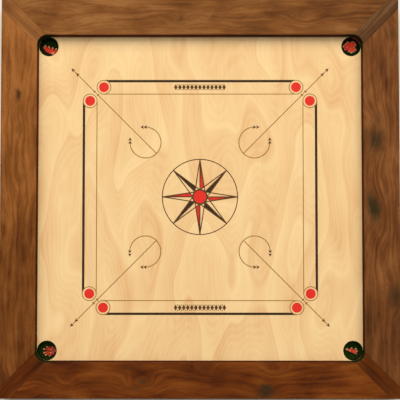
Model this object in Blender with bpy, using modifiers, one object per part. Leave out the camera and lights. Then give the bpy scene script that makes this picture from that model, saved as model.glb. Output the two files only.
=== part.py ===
"""Carrom board: a ply playing surface let into a hardwood frame, with four netted corner pockets.

Metres, +Z up. The origin is on the ground under the middle of the board, +Y points to the far rail.
The frame is four rails held together at the corners by diagonal keys, whose inner ends are the
rounded backs of the pockets. The playing surface sits in a rabbet under the rails' lips and is
carried by a lattice of four battens tenoned into the rails.
"""

from math import cos, pi, radians, sin, sqrt, tau

import bmesh
import bpy
from mathutils import Matrix, Vector

# Overall sizes
PLAY_SIDE = 0.735  # the playing area, between the rails' inner faces
RAIL_WIDTH = 0.082
LIP_HEIGHT = 0.020  # how far the rails stand above the playing surface
PANEL_THICKNESS = 0.012
UNDER_DEPTH = 0.019  # from the ground to the underside of the panel
POCKET_RADIUS = 0.02225

# Frame joinery
RABBET_WIDTH = 0.014
EDGE_ROUND = 0.0025
TONGUE_DEPTH = 0.010  # how far a tongue goes into each of the two pieces that it joins
TONGUE_THICKNESS = 0.006
TONGUE_INNER_WOOD = 0.004  # wood left between a tongue and the rabbet
TONGUE_OUTER_WOOD = 0.016  # wood left beyond a tongue, on the way to the outer corner

# Batten lattice
BATTEN_OFFSET = 0.140  # centre line, from the middle of the board
BATTEN_WIDTH = 0.032
BATTEN_GROUND = 0.003  # clear space under the battens
TENON_LENGTH = 0.012
TENON_THICKNESS = 0.009

# Pocket ring, a flange with a spigot that the net is tied round
RING_EASE = 0.00075  # the bore is larger than the pocket by this much, and the flange clears the rail by it
RING_FLANGE = 0.003
SPIGOT_WALL = 0.002
SPIGOT_LENGTH = 0.005
SPIGOT_BEAD = 0.001

# Net and its knot
NET_WALL = 0.0012
NET_BULGE = 0.0006
NET_GROUND = 0.0008
NET_CORNER = 0.006  # radius where the net's side turns into its floor
KNOT_RADIUS = 0.018
KNOT_HEIGHT = 0.008

# Corner plate
PLATE_WIDTH = 0.018
PLATE_LEG = 0.085  # from the plate's outer corner to the end of each leg
PLATE_THICKNESS = 0.0018
PLATE_SUNK = 0.0005
PLATE_CORNER = 0.003
PLATE_SCREW_INSET = 0.010  # from the end of a leg to the middle of its screw

# Screws: shank radius, head radius, head depth, length
PLATE_SCREW = (0.00175, 0.0033, 0.0016, 0.016)
RING_SCREW = (0.00145, 0.0026, 0.0014, 0.011)
SCREW_TAPER = 0.003  # length of the taper at a screw's tip
SCREW_POINT = 0.3  # radius of the blunt tip, as a share of the shank
SCREW_RIM = 0.0002  # height of the upright rim round a countersunk head

GAP = 0.0003  # between any two pieces that touch
OVERCUT = 0.002  # how far a cutter runs past the face that it opens

# Facets
POCKET_STEPS = 48
RING_STEPS = 40
NET_STEPS = 24
SCREW_STEPS = 12
NET_CORNER_STEPS = 3
KNOT_STEPS = (16, 8)  # round the knot, and from pole to pole
ROUND_SEGMENTS = 4

SHARP = radians(35)  # faces that meet at more than this keep a sharp edge

# Worked out from the values above
PLAY_HALF = PLAY_SIDE / 2
OUTER_HALF = PLAY_HALF + RAIL_WIDTH
RABBET_HALF = PLAY_HALF + RABBET_WIDTH
PLAY_TOP = UNDER_DEPTH + PANEL_THICKNESS
FRAME_TOP = PLAY_TOP + LIP_HEIGHT
POCKET_CENTRE = PLAY_HALF - POCKET_RADIUS
KEY_HALF = POCKET_RADIUS / sqrt(2)
JOINT_LENGTH = RAIL_WIDTH * sqrt(2)
UNDER_PANEL = UNDER_DEPTH - GAP
RING_BORE = POCKET_RADIUS + RING_EASE
RING_OUTER = POCKET_RADIUS + RABBET_WIDTH - RING_EASE
SPIGOT_RADIUS = RING_BORE + SPIGOT_WALL
FLANGE_UNDER = UNDER_PANEL - RING_FLANGE
SPIGOT_END = FLANGE_UNDER - SPIGOT_LENGTH
NET_HEM = SPIGOT_RADIUS + GAP
NET_RADIUS = SPIGOT_RADIUS + SPIGOT_BEAD + GAP + NET_BULGE
PLATE_LINE = (RABBET_HALF + OUTER_HALF) / 2  # the middle of the rails' lower faces

CORNERS = ("far_right", "far_left", "near_left", "near_right")
RAILS = ("right", "far", "left", "near")

FRAME_WOOD = ((0.25, 0.10, 0.035), 0.38)
KEY_WOOD = ((0.15, 0.058, 0.023), 0.38)
PANEL_PLY = ((0.86, 0.66, 0.38), 0.32)
BATTEN_PINE = ((0.62, 0.43, 0.24), 0.70)
TONGUE_PLY = ((0.70, 0.52, 0.32), 0.75)
RING_PLASTIC = ((0.012, 0.013, 0.012), 0.45)
NET_YARN = ((0.008, 0.030, 0.012), 0.95)
KNOT_YARN = ((0.60, 0.035, 0.020), 0.95)
PLATE_STEEL = ((0.55, 0.54, 0.50), 0.40)
SCREW_STEEL = ((0.62, 0.60, 0.55), 0.35)


def clear_scene():
    for obj in list(bpy.data.objects):
        bpy.data.objects.remove(obj, do_unlink=True)


def new_collection(name):
    collection = bpy.data.collections.new(name)
    bpy.context.scene.collection.children.link(collection)
    return collection


clear_scene()
BOARD = new_collection("carrom_board")
CUTTERS = new_collection("cutters")


# Helpers


def turned(index):
    """The quarter turn that carries the first corner or rail to the one with this index."""
    return Matrix.Rotation(index * pi / 2, 4, "Z")


def add_object(name, mesh, collection, matrix=None):
    obj = bpy.data.objects.new(name, mesh)
    collection.objects.link(obj)
    if matrix is not None:
        obj.matrix_world = matrix
    return obj


def add_part(name, mesh, matrix=None, smooth=False):
    obj = add_object(name, mesh, BOARD, matrix)
    if smooth:
        mesh.shade_smooth()
        mesh.set_sharp_from_angle(angle=SHARP)
    return obj


def add_cutter(name, mesh, matrix=None):
    obj = add_object(name, mesh, CUTTERS, matrix)
    obj.hide_render = True
    obj.display_type = "WIRE"
    return obj


def give_material(obj, finish, metallic=0.0):
    """One Principled material of the object's own, on the object and not on its shared mesh."""
    colour, roughness = finish
    material = bpy.data.materials.new(obj.name)
    material.use_nodes = True
    shader = material.node_tree.nodes["Principled BSDF"]
    shader.inputs["Base Color"].default_value = (*colour, 1.0)
    shader.inputs["Roughness"].default_value = roughness
    shader.inputs["Metallic"].default_value = metallic
    if not obj.data.materials:
        obj.data.materials.append(None)
    obj.material_slots[0].link = "OBJECT"
    obj.material_slots[0].material = material


def mesh_from(bm, name):
    mesh = bpy.data.meshes.new(name)
    bm.to_mesh(mesh)
    bm.free()
    return mesh


def box_bmesh(low, high):
    low = Vector(low)
    high = Vector(high)
    bm = bmesh.new()
    bmesh.ops.create_cube(bm, size=1.0)
    bmesh.ops.scale(bm, vec=high - low, verts=bm.verts)
    bmesh.ops.translate(bm, vec=(low + high) / 2, verts=bm.verts)
    return bm


def box_mesh(name, low, high):
    return mesh_from(box_bmesh(low, high), name)


def round_edges(bm, edges, radius):
    bmesh.ops.bevel(
        bm,
        geom=edges,
        offset=radius,
        offset_type="OFFSET",
        segments=ROUND_SEGMENTS,
        profile=0.5,
        affect="EDGES",
        clamp_overlap=True,
        material=-1,
    )


def saw(bm, point, away):
    """Cuts straight through at a plane, drops what lies on its far side and closes the cut."""
    everything = bm.verts[:] + bm.edges[:] + bm.faces[:]
    bmesh.ops.bisect_plane(bm, geom=everything, plane_co=point, plane_no=away, clear_outer=True)
    rim = [edge for edge in bm.edges if edge.is_boundary]
    bmesh.ops.edgeloop_fill(bm, edges=rim)


def cut(piece, cutters):
    for cutter in cutters:
        modifier = piece.modifiers.new("cut " + cutter.name, "BOOLEAN")
        modifier.operation = "DIFFERENCE"
        modifier.solver = "EXACT"
        modifier.object = cutter


def turned_profile(name, points, steps):
    """A profile of (radius, height) points, spun about Z into a mesh by a Screw modifier.

    The points run down the outer side. A profile whose last point is its first is a ring.
    """
    closed = points[0] == points[-1]
    bm = bmesh.new()
    verts = [bm.verts.new((radius, 0, height)) for radius, height in (points[:-1] if closed else points)]
    for first, second in zip(verts, verts[1:]):
        bm.edges.new((first, second))
    if closed:
        bm.edges.new((verts[-1], verts[0]))
    profile = add_object(name, mesh_from(bm, name), CUTTERS)
    spin = profile.modifiers.new("spin", "SCREW")
    spin.axis = "Z"
    spin.angle = tau
    spin.steps = steps
    spin.render_steps = steps
    spin.use_merge_vertices = True
    spin.merge_threshold = 0.00001
    bpy.context.view_layer.update()
    graph = bpy.context.evaluated_depsgraph_get()
    mesh = bpy.data.meshes.new_from_object(profile.evaluated_get(graph))
    mesh.name = name
    bpy.data.objects.remove(profile, do_unlink=True)
    return mesh


def flat_outline(name, points, low, high):
    """A flat outline of (x, y) points, filled and extruded from one height to another, as a mesh."""
    curve = bpy.data.curves.new(name, "CURVE")
    curve.dimensions = "2D"
    curve.fill_mode = "BOTH"
    curve.extrude = (high - low) / 2
    spline = curve.splines.new("POLY")
    spline.points.add(len(points) - 1)
    for point, (x, y) in zip(spline.points, points):
        point.co = (x, y, 0, 1)
    spline.use_cyclic_u = True
    outline = add_object(name, curve, CUTTERS)
    bpy.context.view_layer.update()
    graph = bpy.context.evaluated_depsgraph_get()
    mesh = bpy.data.meshes.new_from_object(outline.evaluated_get(graph))
    bpy.data.objects.remove(outline, do_unlink=True)
    mesh.transform(Matrix.Translation((0, 0, (high + low) / 2)))
    bm = bmesh.new()
    bm.from_mesh(mesh)
    bmesh.ops.remove_doubles(bm, verts=bm.verts, dist=0.00001)
    bmesh.ops.recalc_face_normals(bm, faces=bm.faces)
    bm.to_mesh(mesh)
    bm.free()
    return mesh


# Cutters shared by the pieces of one corner, made at the first corner and turned to the others


def joint_matrix(side):
    """The frame of a rail-to-key joint at the first corner: origin at its inner end, X along it.

    side is -1 for the joint with the right rail, and 1 for the joint with the far rail. Local Y
    points into the key.
    """
    along = Vector((1, 1, 0)).normalized()
    into_key = Vector((-1, 1, 0)).normalized() * -side
    origin = (PLAY_HALF, POCKET_CENTRE, 0) if side < 0 else (POCKET_CENTRE, PLAY_HALF, 0)
    columns = Matrix((along, into_key, Vector((0, 0, -side)))).transposed().to_4x4()
    return Matrix.Translation(origin) @ columns


def tongue_box(grow):
    """Lowest and highest corners of a tongue in its joint's own frame."""
    start = RABBET_WIDTH * sqrt(2) + TONGUE_DEPTH + TONGUE_INNER_WOOD
    end = JOINT_LENGTH - TONGUE_DEPTH - TONGUE_OUTER_WOOD
    half = TONGUE_THICKNESS / 2 + grow
    low = Vector((start - grow, -TONGUE_DEPTH - grow, -half))
    high = Vector((end + grow, TONGUE_DEPTH + grow, half))
    return low, high


def tongue_matrix(corner, side):
    lift = Matrix.Translation((0, 0, FRAME_TOP / 2))
    return turned(corner) @ lift @ joint_matrix(side)


def screw_points(screw, grow):
    """Profile of a countersunk screw with its head down, (radius, height) from the head's face."""
    shank, head, head_depth, length = screw
    below = -OVERCUT if grow else 0
    return [
        (0, length + grow),
        (shank * SCREW_POINT + grow, length + grow),
        (shank + grow, length - SCREW_TAPER),
        (shank + grow, head_depth + grow),
        (head + grow, SCREW_RIM + grow),
        (head + grow, below),
        (0, below),
    ]


def plate_outline(grow):
    """An L along the frame's lower faces at the first corner, larger all round by grow."""
    outer = PLATE_LINE + PLATE_WIDTH / 2 + grow
    inner = PLATE_LINE - PLATE_WIDTH / 2 - grow
    end = PLATE_LINE + PLATE_WIDTH / 2 - PLATE_LEG - grow
    return [(outer, outer), (end, outer), (end, inner), (inner, inner), (inner, end), (outer, end)]


def plate_mesh(name, grow, low, high):
    mesh = flat_outline(name, plate_outline(grow), low, high)
    bm = bmesh.new()
    bm.from_mesh(mesh)
    upright = [
        edge
        for edge in bm.edges
        if abs(edge.verts[0].co.z - edge.verts[1].co.z) > (high - low) / 2
        and edge.calc_face_angle(0) > SHARP
    ]
    round_edges(bm, upright, PLATE_CORNER + grow)
    bm.to_mesh(mesh)
    bm.free()
    return mesh


def plate_screw_places():
    """Where the three screws of the first corner's plate go: right rail, key, far rail."""
    reach = PLATE_LINE + PLATE_WIDTH / 2 - PLATE_LEG + PLATE_SCREW_INSET
    return [(PLATE_LINE, reach), (PLATE_LINE, PLATE_LINE), (reach, PLATE_LINE)]


def ring_screw_places():
    """Where the two screws of the first corner's ring go, either side of the board's diagonal."""
    pitch = (NET_HEM + NET_WALL + GAP + RING_OUTER) / 2
    side = pitch / sqrt(2)
    return [
        (POCKET_CENTRE + side, POCKET_CENTRE - side),
        (POCKET_CENTRE - side, POCKET_CENTRE + side),
    ]


def pocket_profile():
    """Cutter for the back of a pocket, opening out at the top to round the key's edge."""
    arc = []
    for step in range(ROUND_SEGMENTS + 1):
        angle = pi / 2 * (1 - step / ROUND_SEGMENTS)
        radius = POCKET_RADIUS + EDGE_ROUND * (1 - cos(angle))
        arc.append((radius, FRAME_TOP - EDGE_ROUND + EDGE_ROUND * sin(angle)))
    wide = POCKET_RADIUS + EDGE_ROUND
    low = PLAY_TOP - OVERCUT
    high = FRAME_TOP + OVERCUT
    return [(0, high), (wide, high), *arc, (POCKET_RADIUS, low), (0, low)]


# The cutters themselves


def make_cutters():
    """Every cutter, in a dictionary of lists with one entry or one list for each corner."""
    low, high = tongue_box(GAP)
    tongue = box_mesh("tongue_slot", low, high)
    recess = plate_mesh("plate_recess", GAP, -OVERCUT, PLATE_SUNK + PLATE_THICKNESS + GAP)
    plate_hole = turned_profile("plate_screw_hole", screw_points(PLATE_SCREW, GAP), SCREW_STEPS)
    ring_hole = turned_profile("ring_screw_hole", screw_points(RING_SCREW, GAP), SCREW_STEPS)
    pocket = turned_profile("pocket_back", pocket_profile(), POCKET_STEPS)
    hole = turned_profile("pocket_hole", hole_profile(), POCKET_STEPS)
    cutters = {"tongue": [], "recess": [], "plate_hole": [], "ring_hole": [], "back": [], "hole": []}
    at_pocket = Matrix.Translation((POCKET_CENTRE, POCKET_CENTRE, 0))
    for index, corner in enumerate(CORNERS):
        turn = turned(index)
        cutters["tongue"].append(
            [
                add_cutter(f"tongue_slot_{corner}_{side}", tongue, tongue_matrix(index, side))
                for side in (-1, 1)
            ]
        )
        cutters["recess"].append(add_cutter(f"plate_recess_{corner}", recess, turn))
        cutters["plate_hole"].append(
            [
                add_cutter(f"plate_hole_{corner}_{number}", plate_hole, turn @ at_height(place, PLATE_SUNK))
                for number, place in enumerate(plate_screw_places())
            ]
        )
        cutters["ring_hole"].append(
            [
                add_cutter(f"ring_hole_{corner}_{number}", ring_hole, turn @ at_height(place, FLANGE_UNDER))
                for number, place in enumerate(ring_screw_places())
            ]
        )
        cutters["back"].append(add_cutter(f"pocket_back_{corner}", pocket, turn @ at_pocket))
        cutters["hole"].append(add_cutter(f"pocket_hole_{corner}", hole, turn @ at_pocket))
    return cutters


def at_height(place, height):
    return Matrix.Translation((*place, height))


def hole_profile():
    low = UNDER_DEPTH - OVERCUT
    high = PLAY_TOP + OVERCUT
    return [(0, high), (POCKET_RADIUS, high), (POCKET_RADIUS, low), (0, low)]


def rabbet_cutter():
    half = RABBET_HALF + GAP
    mesh = box_mesh("rabbet", (-half, -half, -OVERCUT), (half, half, PLAY_TOP + GAP))
    return add_cutter("rabbet", mesh)


def tenon_reach():
    """From the middle of the board to the end of a tenon."""
    return RABBET_HALF + TENON_LENGTH


def mortise_cutters():
    """Four boxes, each the mortises of one batten in the two rails that it runs between."""
    cutters = []
    reach = tenon_reach() + GAP
    half = BATTEN_WIDTH / 2 + GAP
    low = UNDER_PANEL - TENON_THICKNESS - GAP
    high = UNDER_PANEL + GAP
    for index, side in enumerate((-1, 1, -1, 1)):
        centre = side * BATTEN_OFFSET
        mesh = box_mesh("mortise", (-reach, centre - half, low), (reach, centre + half, high))
        cutters.append(add_cutter(f"mortise_{index}", mesh, turned(index // 2)))
    return cutters


# Frame


def rail_mesh():
    """The right rail before it is housed: a bar rounded along its top, sawn at both keys."""
    bm = box_bmesh((PLAY_HALF, -OUTER_HALF, 0), (OUTER_HALF, OUTER_HALF, FRAME_TOP))
    top = [edge for edge in bm.edges if all(v.co.z > FRAME_TOP / 2 for v in edge.verts)]
    along = [edge for edge in top if edge.verts[0].co.x == edge.verts[1].co.x]
    round_edges(bm, along, EDGE_ROUND)
    back_off = GAP / 2 * sqrt(2)
    for side in (-1, 1):
        point = (PLAY_HALF, side * (POCKET_CENTRE - back_off), 0)
        saw(bm, point, (-1, side, 0))
    return mesh_from(bm, "rail")


def key_mesh():
    """The first corner's key before it is housed: a bar along the diagonal, ending in the corner."""
    inner = POCKET_CENTRE - POCKET_RADIUS
    bm = box_bmesh((inner, inner, 0), (OUTER_HALF, OUTER_HALF, FRAME_TOP))
    outside = [edge for edge in bm.edges if on_outside(edge)]
    round_edges(bm, outside, EDGE_ROUND)
    half = KEY_HALF - GAP / 2
    for side in (-1, 1):
        across = Vector((side, -side, 0)).normalized()
        middle = Vector((POCKET_CENTRE, POCKET_CENTRE, 0))
        saw(bm, middle + across * half, across)
    saw(bm, (POCKET_CENTRE, POCKET_CENTRE, 0), (-1, -1, 0))
    return mesh_from(bm, "corner_key")


def on_outside(edge):
    """Whether an edge of the corner block is the outer upright one or one of the two outer top ones."""
    first, second = (v.co for v in edge.verts)
    middle = (first + second) / 2
    upright = min(middle.x, middle.y) > OUTER_HALF - EDGE_ROUND
    top = middle.z > FRAME_TOP - EDGE_ROUND and max(middle.x, middle.y) > OUTER_HALF - EDGE_ROUND
    return upright or top


def make_rails(cutters, rabbet, mortises):
    mesh = rail_mesh()
    for index, name in enumerate(RAILS):
        rail = add_part("rail_" + name, mesh, turned(index))
        before = index - 1
        across = mortises[:2] if index % 2 == 0 else mortises[2:]
        cut(rail, [rabbet, *across])
        cut(rail, [cutters["tongue"][index][0], cutters["tongue"][before][1]])
        cut(rail, [cutters["recess"][index], cutters["recess"][before]])
        cut(rail, [cutters["plate_hole"][index][0], cutters["plate_hole"][before][2]])
        give_material(rail, FRAME_WOOD)


def make_keys(cutters, rabbet):
    mesh = key_mesh()
    for index, name in enumerate(CORNERS):
        key = add_part("corner_key_" + name, mesh, turned(index))
        cut(key, [cutters["back"][index], rabbet, *cutters["tongue"][index]])
        cut(key, [cutters["recess"][index], cutters["plate_hole"][index][1]])
        give_material(key, KEY_WOOD)


def make_tongues():
    low, high = tongue_box(0)
    mesh = box_mesh("tongue", low, high)
    for index, corner in enumerate(CORNERS):
        for side, letter in ((-1, "a"), (1, "b")):
            tongue = add_part(f"tongue_{corner}_{letter}", mesh, tongue_matrix(index, side))
            give_material(tongue, TONGUE_PLY)


# Playing surface and the lattice under it


def make_panel(cutters):
    half = RABBET_HALF
    mesh = box_mesh("playing_surface", (-half, -half, UNDER_DEPTH), (half, half, PLAY_TOP))
    panel = add_part("playing_surface", mesh)
    for holes, screws in zip(cutters["hole"], cutters["ring_hole"]):
        cut(panel, [holes, *screws])
    give_material(panel, PANEL_PLY)


def batten_mesh():
    """A batten before its laps and tenons are cut, from end to end along X."""
    reach = tenon_reach()
    half = BATTEN_WIDTH / 2
    return box_mesh("batten", (-reach, -half, BATTEN_GROUND), (reach, half, UNDER_PANEL))


def tenon_shoulder():
    """Cutter for the wood under the tenon at a batten's +X end."""
    half = BATTEN_WIDTH / 2 + OVERCUT
    low = (RABBET_HALF - GAP, -half, BATTEN_GROUND - OVERCUT)
    high = (tenon_reach() + OVERCUT, half, UNDER_PANEL - TENON_THICKNESS)
    return box_mesh("tenon_shoulder", low, high)


def lap_cutter(name, low, high):
    """Cutter for half of a batten's depth where another batten crosses it."""
    along = BATTEN_WIDTH / 2 + GAP
    across = BATTEN_WIDTH / 2 + OVERCUT
    return box_mesh(name, (-along, -across, low), (along, across, high))


def make_battens():
    """Two battens along X, lapped from above, and two along Y, lapped from below."""
    mesh = batten_mesh()
    shoulder = tenon_shoulder()
    middle = (BATTEN_GROUND + UNDER_PANEL) / 2
    upper = lap_cutter("upper_lap", middle - GAP / 2, UNDER_PANEL + OVERCUT)
    lower = lap_cutter("lower_lap", BATTEN_GROUND - OVERCUT, middle + GAP / 2)
    names = ("batten_near", "batten_far", "batten_right", "batten_left")
    for index, (name, side) in enumerate(zip(names, (-1, 1, -1, 1))):
        place = turned(index // 2) @ Matrix.Translation((0, side * BATTEN_OFFSET, 0))
        batten = add_part(name, mesh, place)
        lap = upper if index < 2 else lower
        for end in (-1, 1):
            crossing = place @ Matrix.Translation((end * BATTEN_OFFSET, 0, 0))
            end_turn = place @ Matrix.Rotation(0 if end > 0 else pi, 4, "Z")
            notch = add_cutter(f"{name}_lap_{end}", lap, crossing)
            under = add_cutter(f"{name}_shoulder_{end}", shoulder, end_turn)
            cut(batten, [notch, under])
        give_material(batten, BATTEN_PINE)


# Pockets


def ring_profile():
    """The pocket ring's section, down its outer side and back up the bore."""
    bead = SPIGOT_RADIUS + SPIGOT_BEAD
    bead_top = SPIGOT_END + SPIGOT_BEAD
    return [
        (RING_OUTER, UNDER_PANEL),
        (RING_OUTER, FLANGE_UNDER),
        (SPIGOT_RADIUS, FLANGE_UNDER),
        (SPIGOT_RADIUS, bead_top + SPIGOT_BEAD / 2),
        (bead, bead_top),
        (bead, SPIGOT_END),
        (RING_BORE, SPIGOT_END),
        (RING_BORE, UNDER_PANEL),
        (RING_OUTER, UNDER_PANEL),
    ]


def net_side(offset):
    """One face of the net's side, from its hem down and round to the axis, moved in by offset."""
    points = [
        (NET_HEM + NET_WALL - offset, FLANGE_UNDER - GAP),
        (NET_RADIUS + NET_WALL - offset, SPIGOT_END + 2 * SPIGOT_BEAD),
        (NET_RADIUS + NET_WALL + NET_BULGE - offset, SPIGOT_END - SPIGOT_BEAD),
    ]
    centre_radius = NET_RADIUS + NET_WALL + NET_BULGE - NET_CORNER
    centre_height = NET_GROUND + NET_CORNER
    turn = NET_CORNER - offset
    for step in range(1, NET_CORNER_STEPS + 1):
        angle = pi / 2 * step / NET_CORNER_STEPS
        points.append((centre_radius + turn * cos(angle), centre_height - turn * sin(angle)))
    points.append((0, NET_GROUND + offset))
    return points


def net_profile():
    """A collapsed pouch: up the inside from its floor, over the hem and down the outside."""
    return [*reversed(net_side(NET_WALL)), *net_side(0)]


def knot_mesh():
    around, down = KNOT_STEPS
    bm = bmesh.new()
    bmesh.ops.create_uvsphere(bm, u_segments=around, v_segments=down, radius=1.0)
    bmesh.ops.scale(bm, vec=(KNOT_RADIUS, KNOT_RADIUS, KNOT_HEIGHT / 2), verts=bm.verts)
    return mesh_from(bm, "net_knot")


def make_pockets(cutters):
    ring = turned_profile("pocket_ring", ring_profile(), RING_STEPS)
    net = turned_profile("pocket_net", net_profile(), NET_STEPS)
    knot = knot_mesh()
    on_floor = NET_GROUND + NET_WALL + GAP + KNOT_HEIGHT / 2
    for index, corner in enumerate(CORNERS):
        turn = turned(index)
        here = turn @ Matrix.Translation((POCKET_CENTRE, POCKET_CENTRE, 0))
        ring_part = add_part("pocket_ring_" + corner, ring, here, smooth=True)
        cut(ring_part, cutters["ring_hole"][index])
        give_material(ring_part, RING_PLASTIC)
        net_part = add_part("pocket_net_" + corner, net, here, smooth=True)
        give_material(net_part, NET_YARN)
        knot_part = add_part("net_knot_" + corner, knot, here @ at_height((0, 0), on_floor), smooth=True)
        give_material(knot_part, KNOT_YARN)


# Metal


def make_plates(cutters):
    mesh = plate_mesh("corner_plate", 0, PLATE_SUNK, PLATE_SUNK + PLATE_THICKNESS)
    for index, corner in enumerate(CORNERS):
        plate = add_part("corner_plate_" + corner, mesh, turned(index))
        cut(plate, cutters["plate_hole"][index])
        give_material(plate, PLATE_STEEL, metallic=1.0)


def make_screws():
    plate_screw = turned_profile("plate_screw", screw_points(PLATE_SCREW, 0), SCREW_STEPS)
    ring_screw = turned_profile("ring_screw", screw_points(RING_SCREW, 0), SCREW_STEPS)
    for index, corner in enumerate(CORNERS):
        turn = turned(index)
        for number, place in enumerate(plate_screw_places(), start=1):
            here = turn @ at_height(place, PLATE_SUNK)
            screw = add_part(f"plate_screw_{corner}_{number}", plate_screw, here, smooth=True)
            give_material(screw, SCREW_STEEL, metallic=1.0)
        for number, place in enumerate(ring_screw_places(), start=1):
            here = turn @ at_height(place, FLANGE_UNDER)
            screw = add_part(f"ring_screw_{corner}_{number}", ring_screw, here, smooth=True)
            give_material(screw, SCREW_STEEL, metallic=1.0)


def main():
    cutters = make_cutters()
    rabbet = rabbet_cutter()
    mortises = mortise_cutters()
    make_rails(cutters, rabbet, mortises)
    make_keys(cutters, rabbet)
    make_tongues()
    make_panel(cutters)
    make_battens()
    make_pockets(cutters)
    make_plates(cutters)
    make_screws()
    print(f"{len(BOARD.objects)} parts, {OUTER_HALF * 2:.4f} m square, {FRAME_TOP:.4f} m high")


main()
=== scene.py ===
# %% [markdown]
# # Finishing a carrom board
# The frame that is loaded here is the board as its joiner leaves it: four rails, four diagonal
# corner keys, a ply playing surface, a lattice of battens, rings, nets, plates and screws, all in
# their places and in metres. This lesson gives every one of them its real finish, and adds what a
# printer, a net maker and a screwdriver add: inked play lines, crocheted nets, cross-headed screws.
# Nothing that the joiner made is moved. The main sizes, and the places of the nets, tassels and screws, are
# read from the loaded pieces.

from math import asin, atan2, cos, pi, radians, sin, tau

import bmesh
import bpy
from mathutils import Matrix, Vector


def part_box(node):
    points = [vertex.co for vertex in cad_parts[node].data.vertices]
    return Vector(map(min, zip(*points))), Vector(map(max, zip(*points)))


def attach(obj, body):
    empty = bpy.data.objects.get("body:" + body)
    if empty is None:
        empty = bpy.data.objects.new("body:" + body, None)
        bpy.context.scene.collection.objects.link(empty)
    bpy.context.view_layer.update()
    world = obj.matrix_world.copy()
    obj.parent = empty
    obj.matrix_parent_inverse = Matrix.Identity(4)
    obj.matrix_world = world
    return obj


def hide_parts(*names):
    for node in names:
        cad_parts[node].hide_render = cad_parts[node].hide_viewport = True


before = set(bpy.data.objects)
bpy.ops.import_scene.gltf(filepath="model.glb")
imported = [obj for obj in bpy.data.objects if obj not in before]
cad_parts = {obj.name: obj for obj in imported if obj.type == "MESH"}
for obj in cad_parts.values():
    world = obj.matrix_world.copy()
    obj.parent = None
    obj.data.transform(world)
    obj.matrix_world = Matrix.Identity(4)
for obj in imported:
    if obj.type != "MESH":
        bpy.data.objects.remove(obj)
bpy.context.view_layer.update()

# %% [markdown]
# ## The sizes that everything else follows
# A learner's first instinct is to type numbers in where they are needed. It is safer to read each
# of them once from the piece that sets it, so that the lines stay centred on their board and the
# nets stay under their pockets.

# %% Read the main sizes from the frame
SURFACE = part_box("playing_surface")[1].z
PLAY_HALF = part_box("rail_right")[0].x
OUTER_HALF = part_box("rail_right")[1].x
RING_LOW, RING_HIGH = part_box("pocket_ring_far_right")
POCKET_CENTRE = (RING_LOW.x + RING_HIGH.x) / 2
POCKET_RADIUS = PLAY_HALF - POCKET_CENTRE
CORNERS = {"far_right": (1, 1), "far_left": (-1, 1), "near_left": (-1, -1), "near_right": (1, -1)}
MM = 0.001
print(f"playing side {PLAY_HALF * 2:.4f}, pocket radius {POCKET_RADIUS:.5f}, surface at {SURFACE:.4f}")

# %% [markdown]
# ## A few small tools for materials
# Colours are chosen as sRGB hex values, the way a paint chart or a screen gives them, but a shader
# works with linear light, so one function turns the first into the second. The others start a
# material, add a node with its settings and links in one call, draw a noise out along a grain, and
# link what was made to the shader, which keeps each recipe short enough to read in one go.

# %% Colour, material and node tools


def srgb(code):
    """A hex colour as linear red, green, blue and alpha."""
    channels = [int(code[i : i + 2], 16) / 255 for i in (1, 3, 5)]
    linear = [c / 12.92 if c <= 0.04045 else ((c + 0.055) / 1.055) ** 2.4 for c in channels]
    return (*linear, 1.0)


def add_node(tree, kind, inputs=None, stops=None, **settings):
    """Adds a node. An input takes a value, a socket, or another node for that node's first output."""
    node = tree.nodes.new("ShaderNode" + kind)
    for name, value in settings.items():
        setattr(node, name, value)
    if stops:
        elements = node.color_ramp.elements
        while len(elements) < len(stops):
            elements.new(0.5)
        for element, (position, colour) in zip(elements, stops):
            element.position = position
            element.color = srgb(colour)
    for key, value in (inputs or {}).items():
        if isinstance(value, bpy.types.Node):
            value = value.outputs[0]
        if isinstance(value, bpy.types.NodeSocket):
            tree.links.new(value, node.inputs[key])
        else:
            node.inputs[key].default_value = value
    return node


def new_material(name, **surface):
    """A material with its Principled shader, whose plain settings are named with underscores."""
    material = bpy.data.materials.new(name)
    material.use_nodes = True
    shader = material.node_tree.nodes["Principled BSDF"]
    for key, value in surface.items():
        shader.inputs[key.replace("_", " ")].default_value = value
    return material, material.node_tree, shader


def stretched_noise(tree, source, cells, **inputs):
    """A noise with that many cells per metre along each axis, as in anything that has a grain."""
    place = add_node(tree, "Mapping", {"Vector": source, "Scale": cells})
    return add_node(tree, "TexNoise", {"Vector": place, "Scale": 1.0, **inputs})


def feed(tree, shader, **sources):
    """Links sockets, or the first outputs of nodes, to the shader's inputs of these names."""
    for key, source in sources.items():
        socket = source.outputs[0] if isinstance(source, bpy.types.Node) else source
        tree.links.new(socket, shader.inputs[key.replace("_", " ")])


# %% [markdown]
# ## The playing surface: birch veneer under lacquer
# A carrom surface is birch ply, faced with a rotary-peeled veneer. Peeling cuts the growth rings at
# a very flat angle, so they show as wide, pale, wandering contours along the grain, never as tight
# stripes. Contour lines are also how it can be drawn: a smooth noise, stretched along the grain, is
# multiplied up and its fraction taken, which gives the map-like bands. Fine fibre goes on top. The
# veneer is buried under a hard satin lacquer, so the figure is colour only, with hardly any bump.
# The same material covers the panel's edges in the pocket holes, where the plies lie in layers under a
# blackish green of painted shade.

# %% Birch ply
PLY_LAYER = 1.3 * MM
GLOSS_DRIFT = 0.03
FACE_FIGURE = (6.5, 2.3, 1.0)  # noise cells per metre across and along the grain
FACE_CONTOURS = 7.0  # contour bands over the noise's whole range
FACE_YEARS = 45.0  # ripples over the same range
FACE_FIBRE = (420, 9, 420)
CLOUD_CELLS = 2.3  # patches of stronger and weaker tone, so many to one cell of the figure
BASE_TONE = 0.04
BAND_SHARE, RIPPLE_SHARE, PATCH_SHARE, FACE_FIBRE_SHARE = 0.42, 0.035, 0.55, 0.22


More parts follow.
